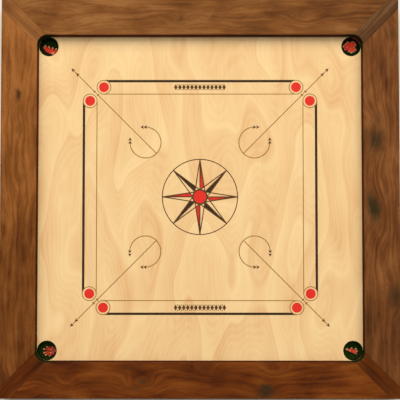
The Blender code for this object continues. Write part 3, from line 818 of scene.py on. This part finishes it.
ornament = bmesh.new()
spacing = 2 * ORNAMENT_HALF / (LOZENGES - 1)
for side in (-1, 1):
    y = side * BASE_OUT
    for i in range(LOZENGES):
        x = -ORNAMENT_HALF + i * spacing
        wide, high = LOZENGE
        add_plate(ornament, [(x - wide, y), (x, y - high), (x + wide, y), (x, y + high)])
        if i < LOZENGES - 1:
            for up in (-1, 1):
                dot = (x + spacing / 2, y + up * (high - DOT))
                add_disc(ornament, dot, DOT, layer=0, sides=16)
print_film("print_border_ornament", ornament, BROWN_INK)

# %% [markdown]
# ## The pocket nets
# Under each ring hangs a shallow crocheted pouch: two hem cords round the ring's spigot, one row of
# open mesh, and a close spiral for the side and the floor, all from one two-ply cotton cord.
# Cloth simulation is for sheets; a net is cord, so it is built from its cord's own path. Each path
# is followed by two strands that twist round each other, and a curve gives each strand its body.

# %% The cotton and the cord
STRAND = 0.42 * MM
TWIST = 4.2 * MM  # one full turn of the two plies
FLOSS = 0.25 * MM
STEP = 0.7 * MM

# The cotton is green; its near-black depth is painted shade of the deep pocket.
COTTON = clouded(
    "twisted_green_cotton_with_painted_shade",
    FLOSS,
    [(0.3, "#1e300a"), (0.7, "#2e4512")],
    rough=(0.8, 0.95),
    bump=0.05 * MM,
    Specular_IOR_Level=0.0,
)


def even_steps(path, closed):
    """The same path as points that lie STEP apart."""
    points = [Vector(p) for p in path]
    if closed:
        points.append(points[0])
    lengths = [0.0]
    for a, b in zip(points, points[1:]):
        lengths.append(lengths[-1] + (b - a).length)
    count = max(3, round(lengths[-1] / STEP))
    spaced = []
    k = 0
    for i in range(count if closed else count + 1):
        want = lengths[-1] * i / count
        while k < len(lengths) - 2 and lengths[k + 1] < want:
            k += 1
        share = (want - lengths[k]) / (lengths[k + 1] - lengths[k])
        spaced.append(points[k].lerp(points[k + 1], share))
    return spaced, lengths[-1]


def two_ply(curve, path, outward, closed):
    """Adds two strands that twist round the path; outward(point) is any direction across it."""
    points, length = even_steps(path, closed)
    count = len(points)
    plies = 2 * max(1, round(length / TWIST))
    for phase in (0.0, pi):
        spline = curve.splines.new("POLY")
        spline.points.add(count - 1)
        spline.use_cyclic_u = closed
        for i, point in enumerate(points):
            before = points[i - 1] if i > 0 or closed else point
            after = points[(i + 1) % count] if i < count - 1 or closed else point
            along = (after - before).normalized()
            side = along.cross(outward(point)).normalized()
            up = side.cross(along)
            turn = phase + pi * plies * i / count
            spot = point + STRAND * 0.85 * (cos(turn) * side + sin(turn) * up)
            spline.points[i].co = (*spot, 1.0)


# %% [markdown]
# The net's shape is a profile: distances from the pocket's middle line, with a height for each. The
# open meshes are one cord that waves between the hem and the top of the solid part. From there the
# pouch is crocheted solid in one spiral, down its side and across its floor, so nothing shows
# through it.

# %% Four nets
NET_LOW, NET_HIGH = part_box("pocket_net_far_right")
NET_RADIUS = (NET_HIGH.x - NET_LOW.x) / 2
HEM_HEIGHT = NET_HIGH.z - 1.2 * MM
FLOOR_HEIGHT = NET_LOW.z + 1.0 * MM
MESHES = 30
MESH_TOP = (NET_RADIUS - 1.8 * MM, HEM_HEIGHT - 0.6 * MM)
SOLID = [
    (NET_RADIUS - 1.1 * MM, HEM_HEIGHT - 3.4 * MM),
    (NET_RADIUS - 0.9 * MM, HEM_HEIGHT - 6.4 * MM),
    (NET_RADIUS - 1.8 * MM, FLOOR_HEIGHT + 3.2 * MM),
    (NET_RADIUS - 4.2 * MM, FLOOR_HEIGHT + 0.9 * MM),
    (NET_RADIUS - 7.0 * MM, FLOOR_HEIGHT),
    (0.3 * MM, FLOOR_HEIGHT),
]
SPIRAL_PITCH = 1.25 * MM
STITCH = 3.6 * MM
STITCH_RISE = 0.12 * MM


def open_row():
    """One zigzag row between the hem and the solid part."""
    path = []
    samples = MESHES * 12
    (wide, high), (narrow, low) = MESH_TOP, SOLID[0]
    for i in range(samples):
        turn = tau * i / samples
        share = 0.5 - 0.5 * cos(MESHES * turn)
        out = wide + share * (narrow - wide)
        height = high + share * (low - high)
        path.append((out * cos(turn), out * sin(turn), height))
    return path


def solid_spiral():
    """The close spiral of the side and the floor, from the open meshes to the middle."""
    path = []
    turn = 0.0
    for (wide, high), (narrow, low) in zip(SOLID, SOLID[1:]):
        length = Vector((narrow - wide, low - high)).length
        gone = 0.0
        while gone < length:
            reach = wide + (narrow - wide) * gone / length
            height = high + (low - high) * gone / length
            rise = STITCH_RISE * sin(reach * turn / STITCH * tau / 4)
            path.append((reach * cos(turn), reach * sin(turn), height + rise))
            step = 0.5 * MM / max(reach, 0.6 * MM)
            turn += step
            gone += SPIRAL_PITCH * step / tau
    return path


def net_mesh():
    """The whole net round the origin, as a bmesh."""
    curve = bpy.data.curves.new("net_paths", "CURVE")
    curve.dimensions = "3D"
    curve.bevel_depth = STRAND
    curve.bevel_resolution = 1
    curve.use_fill_caps = True

    def out_from_axis(point):
        return Vector((point.x, point.y, 0.0)).normalized()

    def upright(point):
        return Vector((0, 0, 1))

    hem_radius = NET_RADIUS - 2.3 * MM
    for height in (HEM_HEIGHT, HEM_HEIGHT - 1.1 * MM):
        turns = [tau * i / 90 for i in range(90)]
        hem = [(hem_radius * cos(turn), hem_radius * sin(turn), height) for turn in turns]
        two_ply(curve, hem, out_from_axis, closed=True)
    two_ply(curve, open_row(), out_from_axis, closed=True)
    two_ply(curve, solid_spiral(), upright, closed=False)
    holder = bpy.data.objects.new("net_paths", curve)
    scene.collection.objects.link(holder)
    bpy.context.view_layer.update()
    shape = holder.evaluated_get(bpy.context.evaluated_depsgraph_get())
    mesh = bpy.data.meshes.new_from_object(shape)
    bpy.data.objects.remove(holder)
    bm = bmesh.new()
    bm.from_mesh(mesh)
    bpy.data.meshes.remove(mesh)
    bmesh.ops.remove_doubles(bm, verts=bm.verts, dist=0.001 * MM)
    return bm


pattern_net = net_mesh()
for corner, (sx, sy) in CORNERS.items():
    net = pattern_net.copy()
    place = Matrix.Translation((sx * POCKET_CENTRE, sy * POCKET_CENTRE, 0))
    turned = place @ Matrix.Rotation(atan2(sy, sx), 4, "Z")
    bmesh.ops.transform(net, matrix=turned, verts=net.verts)
    finish_piece("net_" + corner, net, COTTON, ["pocket_net_" + corner])
pattern_net.free()

# %% [markdown]
# ## The tassels in the pockets
# Where the net is gathered its maker leaves a knot of thick red wool, with the cut ends dipped in
# cream. The four reds are one wool at four strengths of painted light and shade: the far two are
# brightest, against the far rail's shade, and the near left darkest. Each lies as it happened to
# fall: the lists below give each finger of wool a root, a bend and a tip. A finger is a tube of
# rings whose outline has three lobes that turn along it, as three-ply wool does. How far along a
# point lies is kept as an attribute, and the material reads it to change from red to cream.

# %% The wool
WOOL_FIBRE = 3.0 * MM  # far coarser than a hair, so that the light and dark of the tufts show


def dyed_wool(name, dark, light):
    material, tree, shader = new_material(
        name, Roughness=0.85, Specular_IOR_Level=0.2, Sheen_Weight=0.25, Sheen_Roughness=0.5
    )
    place = add_node(tree, "TexCoord")
    fuzz = add_node(
        tree, "TexNoise", {"Vector": place.outputs["Object"], "Scale": 1 / WOOL_FIBRE, "Detail": 3.0}
    )
    red = add_node(tree, "ValToRGB", {0: fuzz}, stops=[(0.40, dark), (0.60, light)])
    along = add_node(tree, "Attribute", attribute_name="along")
    dipped = add_node(tree, "Math", {0: fuzz, 1: 0.25, 2: along.outputs["Fac"]}, operation="MULTIPLY_ADD")
    amount = add_node(tree, "MapRange", {0: dipped, 1: 0.80, 2: 1.0})
    colour = add_node(tree, "Mix", {0: amount, 6: red, 7: srgb("#ffc389")}, data_type="RGBA")
    relief = add_node(tree, "Bump", {"Height": fuzz, "Distance": 0.25 * MM, "Strength": 0.6})
    feed(tree, shader, Base_Color=colour.outputs[2], Normal=relief)
    return material


# Painted light and shade: one red wool, brighter in the far pockets against the far rail's shade, darkest
# at the near left.
WOOL_REDS_WITH_PAINTED_LIGHT = {
    "far_left": ("#ff2c14", "#ff6448"),
    "far_right": ("#fa2a14", "#ff6a4c"),
    "near_left": ("#942408", "#f0583c"),
    "near_right": ("#d42a14", "#ff6c50"),
}
WOOL = {corner: dyed_wool("three_ply_red_wool_painted_light_" + corner, *wool_tones) for corner, wool_tones in WOOL_REDS_WITH_PAINTED_LIGHT.items()}
print("dyed", len(WOOL), "reds of wool with painted light and shade")

# %% Fingers of wool
SIDES = 18
RINGS = 18
LOBES = 3
LOBE_DEPTH = 0.10


def add_finger(bm, along_layer, root, bend, tip, radius):
    """A tapering, twisted tube on a bent path, with round ends."""
    root, bend, tip = Vector(root), Vector(bend), Vector(tip)
    rings = []
    for i in range(RINGS + 1):
        t = i / RINGS
        spot = root.lerp(bend, t).lerp(bend.lerp(tip, t), t)
        heading = ((bend - root).lerp(tip - bend, t)).normalized()
        ends = min(1.0, t / 0.16, (1 - t) / 0.22)
        girth = radius * (0.25 + 0.75 * sin(ends * pi / 2)) * (1.05 - 0.25 * t)
        frame_turn = heading.to_track_quat("Z", "X").to_matrix().to_4x4()
        made = bmesh.ops.create_circle(
            bm, cap_ends=False, segments=SIDES, radius=girth, matrix=Matrix.Identity(4)
        )["verts"]
        for vert in made:
            around = atan2(vert.co.y, vert.co.x)
            vert.co *= 1 + LOBE_DEPTH * cos(LOBES * around + t * tau * 0.9)
            vert[along_layer] = t
        bmesh.ops.transform(bm, matrix=Matrix.Translation(spot) @ frame_turn, verts=made)
        rings.append(made)
    for near, far in zip(rings, rings[1:]):
        edges = {e for v in near + far for e in v.link_edges if len(e.link_faces) < 2}
        loop = [e for e in edges if all(v in near for v in e.verts) or all(v in far for v in e.verts)]
        bmesh.ops.bridge_loops(bm, edges=loop)
    for end in (rings[0], rings[-1]):
        bm.faces.new(end)


# %% [markdown]
# Places are in millimetres from the pocket's middle, with heights from the ground up. The roots sit
# deeper and the tips are lifted, because the wool is pushed up by its own bulk.

# %% Four tassels
TASSELS = {
    "far_left": [
        ((-12, -2, 5.4), (-15, 2, 6.0), (-16.5, 5.6, 6.2), 3.0),
        ((-8, -5, 5.4), (-11.5, 2, 6.4), (-13.4, 10.0, 6.4), 3.2),
        ((-3, -8, 5.4), (-4.5, -1, 6.6), (-4.8, 7.5, 6.6), 3.3),
        ((2, -10, 5.4), (3, -4, 6.4), (4.5, 4.5, 6.6), 3.4),
        ((8, -11, 5.4), (10.8, -5, 6.0), (13.0, 2.5, 6.2), 3.2),
        ((-14, 0, 5.2), (-5, -8, 5.6), (9, -12, 5.6), 3.7),
        ((-9, -1, 5.4), (-1, -6, 6.0), (8, -9, 5.8), 3.5),
    ],
    "far_right": [
        ((-2, 3, 5.6), (-8, 6, 6.0), (-15.0, 6.0, 5.6), 3.7),
        ((-3, 8, 5.6), (-4, 14, 6.0), (-1.5, 17.8, 5.4), 4.0),
        ((3, 9, 5.6), (7, 15, 6.2), (11.0, 16.4, 5.4), 4.2),
        ((2, 5, 6.0), (11, 10, 6.6), (17.6, 9.5, 5.4), 4.2),
        ((3, 3, 5.6), (5, -3, 6.2), (5.0, -11.0, 6.0), 3.8),
        ((8, 4, 5.6), (13, 0, 6.2), (15.4, -5.0, 5.6), 3.8),
        ((-1, 6, 6.0), (4, 10, 6.6), (9.0, 11.0, 6.2), 4.2),
        ((0, 1, 5.6), (6, 3, 6.6), (14.0, 3.5, 6.2), 4.0),
        ((-4, 0, 5.6), (-8, 0, 6.0), (-11.0, -1.5, 5.8), 3.4),
        ((0, 2, 5.6), (-6, 10, 6.4), (-9.5, 12.5, 6.0), 4.2),
        ((4, 6, 6.0), (12, 14, 6.6), (14.5, 13.0, 5.8), 4.4),
        ((2, 2, 5.6), (9, -3, 6.4), (10.5, -8.5, 6.0), 4.0),
        ((0, 2, 5.6), (0, -4, 6.2), (-1.0, -8.0, 5.8), 3.6),
    ],
    "near_left": [
        ((8, -1, 5.6), (12, -3, 6.2), (15.5, -6.0, 5.4), 4.0),
        ((10, 4, 5.4), (8, 1, 6.2), (3.0, -4.0, 5.8), 4.0),
        ((12, -10, 5.6), (8, -10, 6.2), (3.0, -9.0, 5.8), 3.9),
        ((6, -1, 5.6), (-1, 3, 6.2), (-6.4, 4.7, 6.2), 2.5),
        ((4, -3, 5.6), (-5, -1, 6.2), (-14.3, -0.5, 6.2), 2.5),
        ((3, -7, 5.6), (-5, -8, 6.2), (-13.2, -9.8, 6.0), 2.5),
        ((5, -9, 5.6), (-2, -13, 6.2), (-9.5, -14.5, 5.8), 2.5),
        ((7, -11, 5.6), (3, -15, 5.8), (-0.5, -16.5, 5.6), 2.8),
    ],
    "near_right": [
        ((8, -6, 5.4), (-1, -3, 5.8), (-12.8, -0.2, 6.0), 3.1),
        ((12, -9, 5.4), (4, -5, 5.8), (-6.0, -3.0, 6.0), 3.2),
        ((4, -6, 5.4), (2, -2, 6.2), (0.9, 3.2, 6.2), 2.7),
        ((10, -7, 5.4), (10.5, -3, 6.2), (11.2, 2.4, 6.2), 2.6),
        ((6, -7, 5.4), (10, -9.5, 5.8), (13.5, -10.5, 5.8), 3.0),
        ((4, -5, 5.6), (9, -5, 6.2), (15.5, -5.0, 5.8), 2.8),
    ],
}
for corner, (sx, sy) in CORNERS.items():
    tassel = bmesh.new()
    along_layer = tassel.verts.layers.float.new("along")
    for root, bend, tip, radius in TASSELS[corner]:
        points = [Vector(p) * MM for p in (root, bend, tip)]
        add_finger(tassel, along_layer, *points, radius * MM)
    shift = (sx * POCKET_CENTRE, sy * POCKET_CENTRE, 0)
    bmesh.ops.translate(tassel, verts=tassel.verts, vec=shift)
    piece = finish_piece("tassel_" + corner, tassel, WOOL[corner], ["net_knot_" + corner])
    piece.data.shade_smooth()

# %% [markdown]
# ## The screws
# Each plate is held by three countersunk screws and each ring by two. A screw is turned on a lathe,
# so spinning its outline makes it. Its recess is a cross that a punch leaves in the head, cut here
# with two tapered bars, and its thread is a small triangle that spins and climbs at once.

# %% One screw, and where it goes
SPIN_STEPS = 32
CORE = 0.78  # the core of the thread as a share of the shank


def screw_mesh(head_radius, shank_radius, head_depth, length):
    """A countersunk screw with its head face at the origin, pointing up."""
    bm = bmesh.new()
    tip = 2.4 * shank_radius
    core = shank_radius * CORE
    outline = [
        (0.0, 0.0),
        (head_radius * 0.96, 0.0),
        (head_radius, head_depth * 0.08),
        (shank_radius, head_depth),
        (shank_radius, head_depth + 1.5 * MM),
        (core, head_depth + 2.0 * MM),
        (core, length - tip),
        (0.0, length),
    ]
    verts = [bm.verts.new((x, 0.0, z)) for x, z in outline]
    edges = [bm.edges.new(pair) for pair in zip(verts, verts[1:])]
    bmesh.ops.spin(
        bm, geom=verts + edges, cent=(0, 0, 0), axis=(0, 0, 1), angle=tau, steps=SPIN_STEPS, use_merge=True
    )
    bmesh.ops.remove_doubles(bm, verts=bm.verts, dist=0.001 * MM)
    return bm


def add_thread(bm, core, crest, start, end, pitch):
    """A helical ridge from start to end."""
    turns = int((end - start) / pitch)
    half = pitch * 0.3
    section = [(core * 0.98, start - half), (crest, start), (core * 0.98, start + half)]
    face = bm.faces.new([bm.verts.new((x, 0.0, z)) for x, z in section])
    bmesh.ops.spin(
        bm,
        geom=list(face.verts) + list(face.edges) + [face],
        cent=(0, 0, 0),
        axis=(0, 0, 1),
        dvec=(0, 0, pitch / 16),
        angle=tau * turns,
        steps=16 * turns,
    )


def cut_cross(bm, head_radius, depth):
    """Sinks a cross recess into the head face."""
    bmesh.ops.recalc_face_normals(bm, faces=bm.faces)
    mesh = bpy.data.meshes.new("screw_blank")
    bm.to_mesh(mesh)
    bm.free()
    blank = bpy.data.objects.new("screw_blank", mesh)
    punch_bm = bmesh.new()
    width = head_radius * 0.24
    for turn in (0.0, pi / 2):
        place = Matrix.Rotation(turn, 4, "Z") @ Matrix.Diagonal((head_radius * 1.15, width, 2 * depth, 1))
        bar = bmesh.ops.create_cube(punch_bm, size=1.0, matrix=place)["verts"]
        for vert in bar:
            if vert.co.z > 0:
                vert.co.xy *= 0.45
    punch_mesh = bpy.data.meshes.new("screw_punch")
    punch_bm.to_mesh(punch_mesh)
    punch_bm.free()
    punch = bpy.data.objects.new("screw_punch", punch_mesh)
    for item in (blank, punch):
        scene.collection.objects.link(item)
    cut = blank.modifiers.new("cut", "BOOLEAN")
    cut.operation = "DIFFERENCE"
    cut.solver = "EXACT"
    cut.use_self = True
    cut.object = punch
    bpy.context.view_layer.update()
    shape = blank.evaluated_get(bpy.context.evaluated_depsgraph_get())
    result = bpy.data.meshes.new_from_object(shape)
    for item in (blank, punch):
        bpy.data.objects.remove(item)
    made = bmesh.new()
    made.from_mesh(result)
    bpy.data.meshes.remove(result)
    return made


def make_screws(kind, shank_radius, pitch):
    sample = next(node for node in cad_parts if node.startswith(kind))
    low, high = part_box(sample)
    head_radius = (high.x - low.x) / 2
    length = high.z - low.z
    head_depth = (head_radius - shank_radius) * 1.05
    blank = screw_mesh(head_radius, shank_radius, head_depth, length)
    pattern = cut_cross(blank, head_radius, head_depth * 0.75)
    thread_from = head_depth + 2.2 * MM
    core = shank_radius * CORE
    add_thread(pattern, core, shank_radius, thread_from, length - 2.6 * shank_radius, pitch)
    for number, node in enumerate(sorted(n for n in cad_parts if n.startswith(kind))):
        low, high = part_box(node)
        screw = pattern.copy()
        middle = (low + high) / 2
        place = Matrix.Translation((middle.x, middle.y, low.z))
        turned = place @ Matrix.Rotation(0.7 * number, 4, "Z")
        bmesh.ops.transform(screw, matrix=turned, verts=screw.verts)
        finish_piece(node.replace(kind, kind + "detailed_"), screw, STEEL, [node])
    pattern.free()


make_screws("plate_screw_", 1.75 * MM, 1.4 * MM)
make_screws("ring_screw_", 1.45 * MM, 1.2 * MM)

# %% [markdown]
# ## Floor, light and camera
# The board lies flat on a plain pale floor and is seen from straight above. A large soft light
# stands beyond the far side, like a studio window, so the far rail throws a wide soft shade over
# the surface. A smaller one hangs overhead, and a pale sky fills the rest.

# %% The floor
floor_bm = bmesh.new()
bmesh.ops.create_grid(floor_bm, x_segments=1, y_segments=1, size=4.0)
floor_mesh = bpy.data.meshes.new("studio_floor")
floor_bm.to_mesh(floor_mesh)
floor_bm.free()
FLOOR_PAINT = clouded(
    "matt_painted_floor", 0.4, [(0.3, "#d9d8d3"), (0.7, "#dedcd7")], rough=(0.75, 0.85), bump=0.02 * MM
)
floor_mesh.materials.append(FLOOR_PAINT)
floor = bpy.data.objects.new("studio_floor", floor_mesh)
scene.collection.objects.link(floor)

# %% The lights


def soft_light(name, place, size, power):
    """A warm white rectangle that faces the board's middle."""
    lamp = bpy.data.lights.new(name, "AREA")
    lamp.shape = "RECTANGLE"
    lamp.size, lamp.size_y = size
    lamp.energy = power
    lamp.color = srgb(WARM_WHITE)[:3]
    holder = bpy.data.objects.new(name, lamp)
    holder.location = place
    holder.rotation_euler = (-Vector(place)).to_track_quat("-Z", "Y").to_euler()
    # A polarising screen keeps the lamp itself out of the polish's reflections.
    holder.visible_glossy = False
    scene.collection.objects.link(holder)


WARM_WHITE = "#fffaf0"
WINDOW_WATTS, SKYLIGHT_WATTS, SKY_STRENGTH = 590.0, 76.0, 0.25
soft_light("window", (0.3, 4.4, 4.6), (12.0, 4.8), WINDOW_WATTS)
soft_light("skylight", (0.0, 0.9, 5.0), (2.0, 1.2), SKYLIGHT_WATTS)
world = bpy.data.worlds.new("studio")
world.use_nodes = True
world.node_tree.nodes["Background"].inputs["Color"].default_value = srgb("#fdfbf6")
world.node_tree.nodes["Background"].inputs["Strength"].default_value = SKY_STRENGTH
scene.world = world
scene.view_settings.view_transform = "Standard"

# %% The camera
camera_data = bpy.data.cameras.new("overhead")
camera_data.lens = 69.65
camera_data.sensor_width = 36.0
camera = bpy.data.objects.new("overhead", camera_data)
camera.location = (0.0047, -0.0660, 1.7868)
camera.rotation_euler = (radians(1.974), radians(0.146), radians(0.007))
scene.collection.objects.link(camera)
scene.camera = camera
print("camera", list(camera.location))
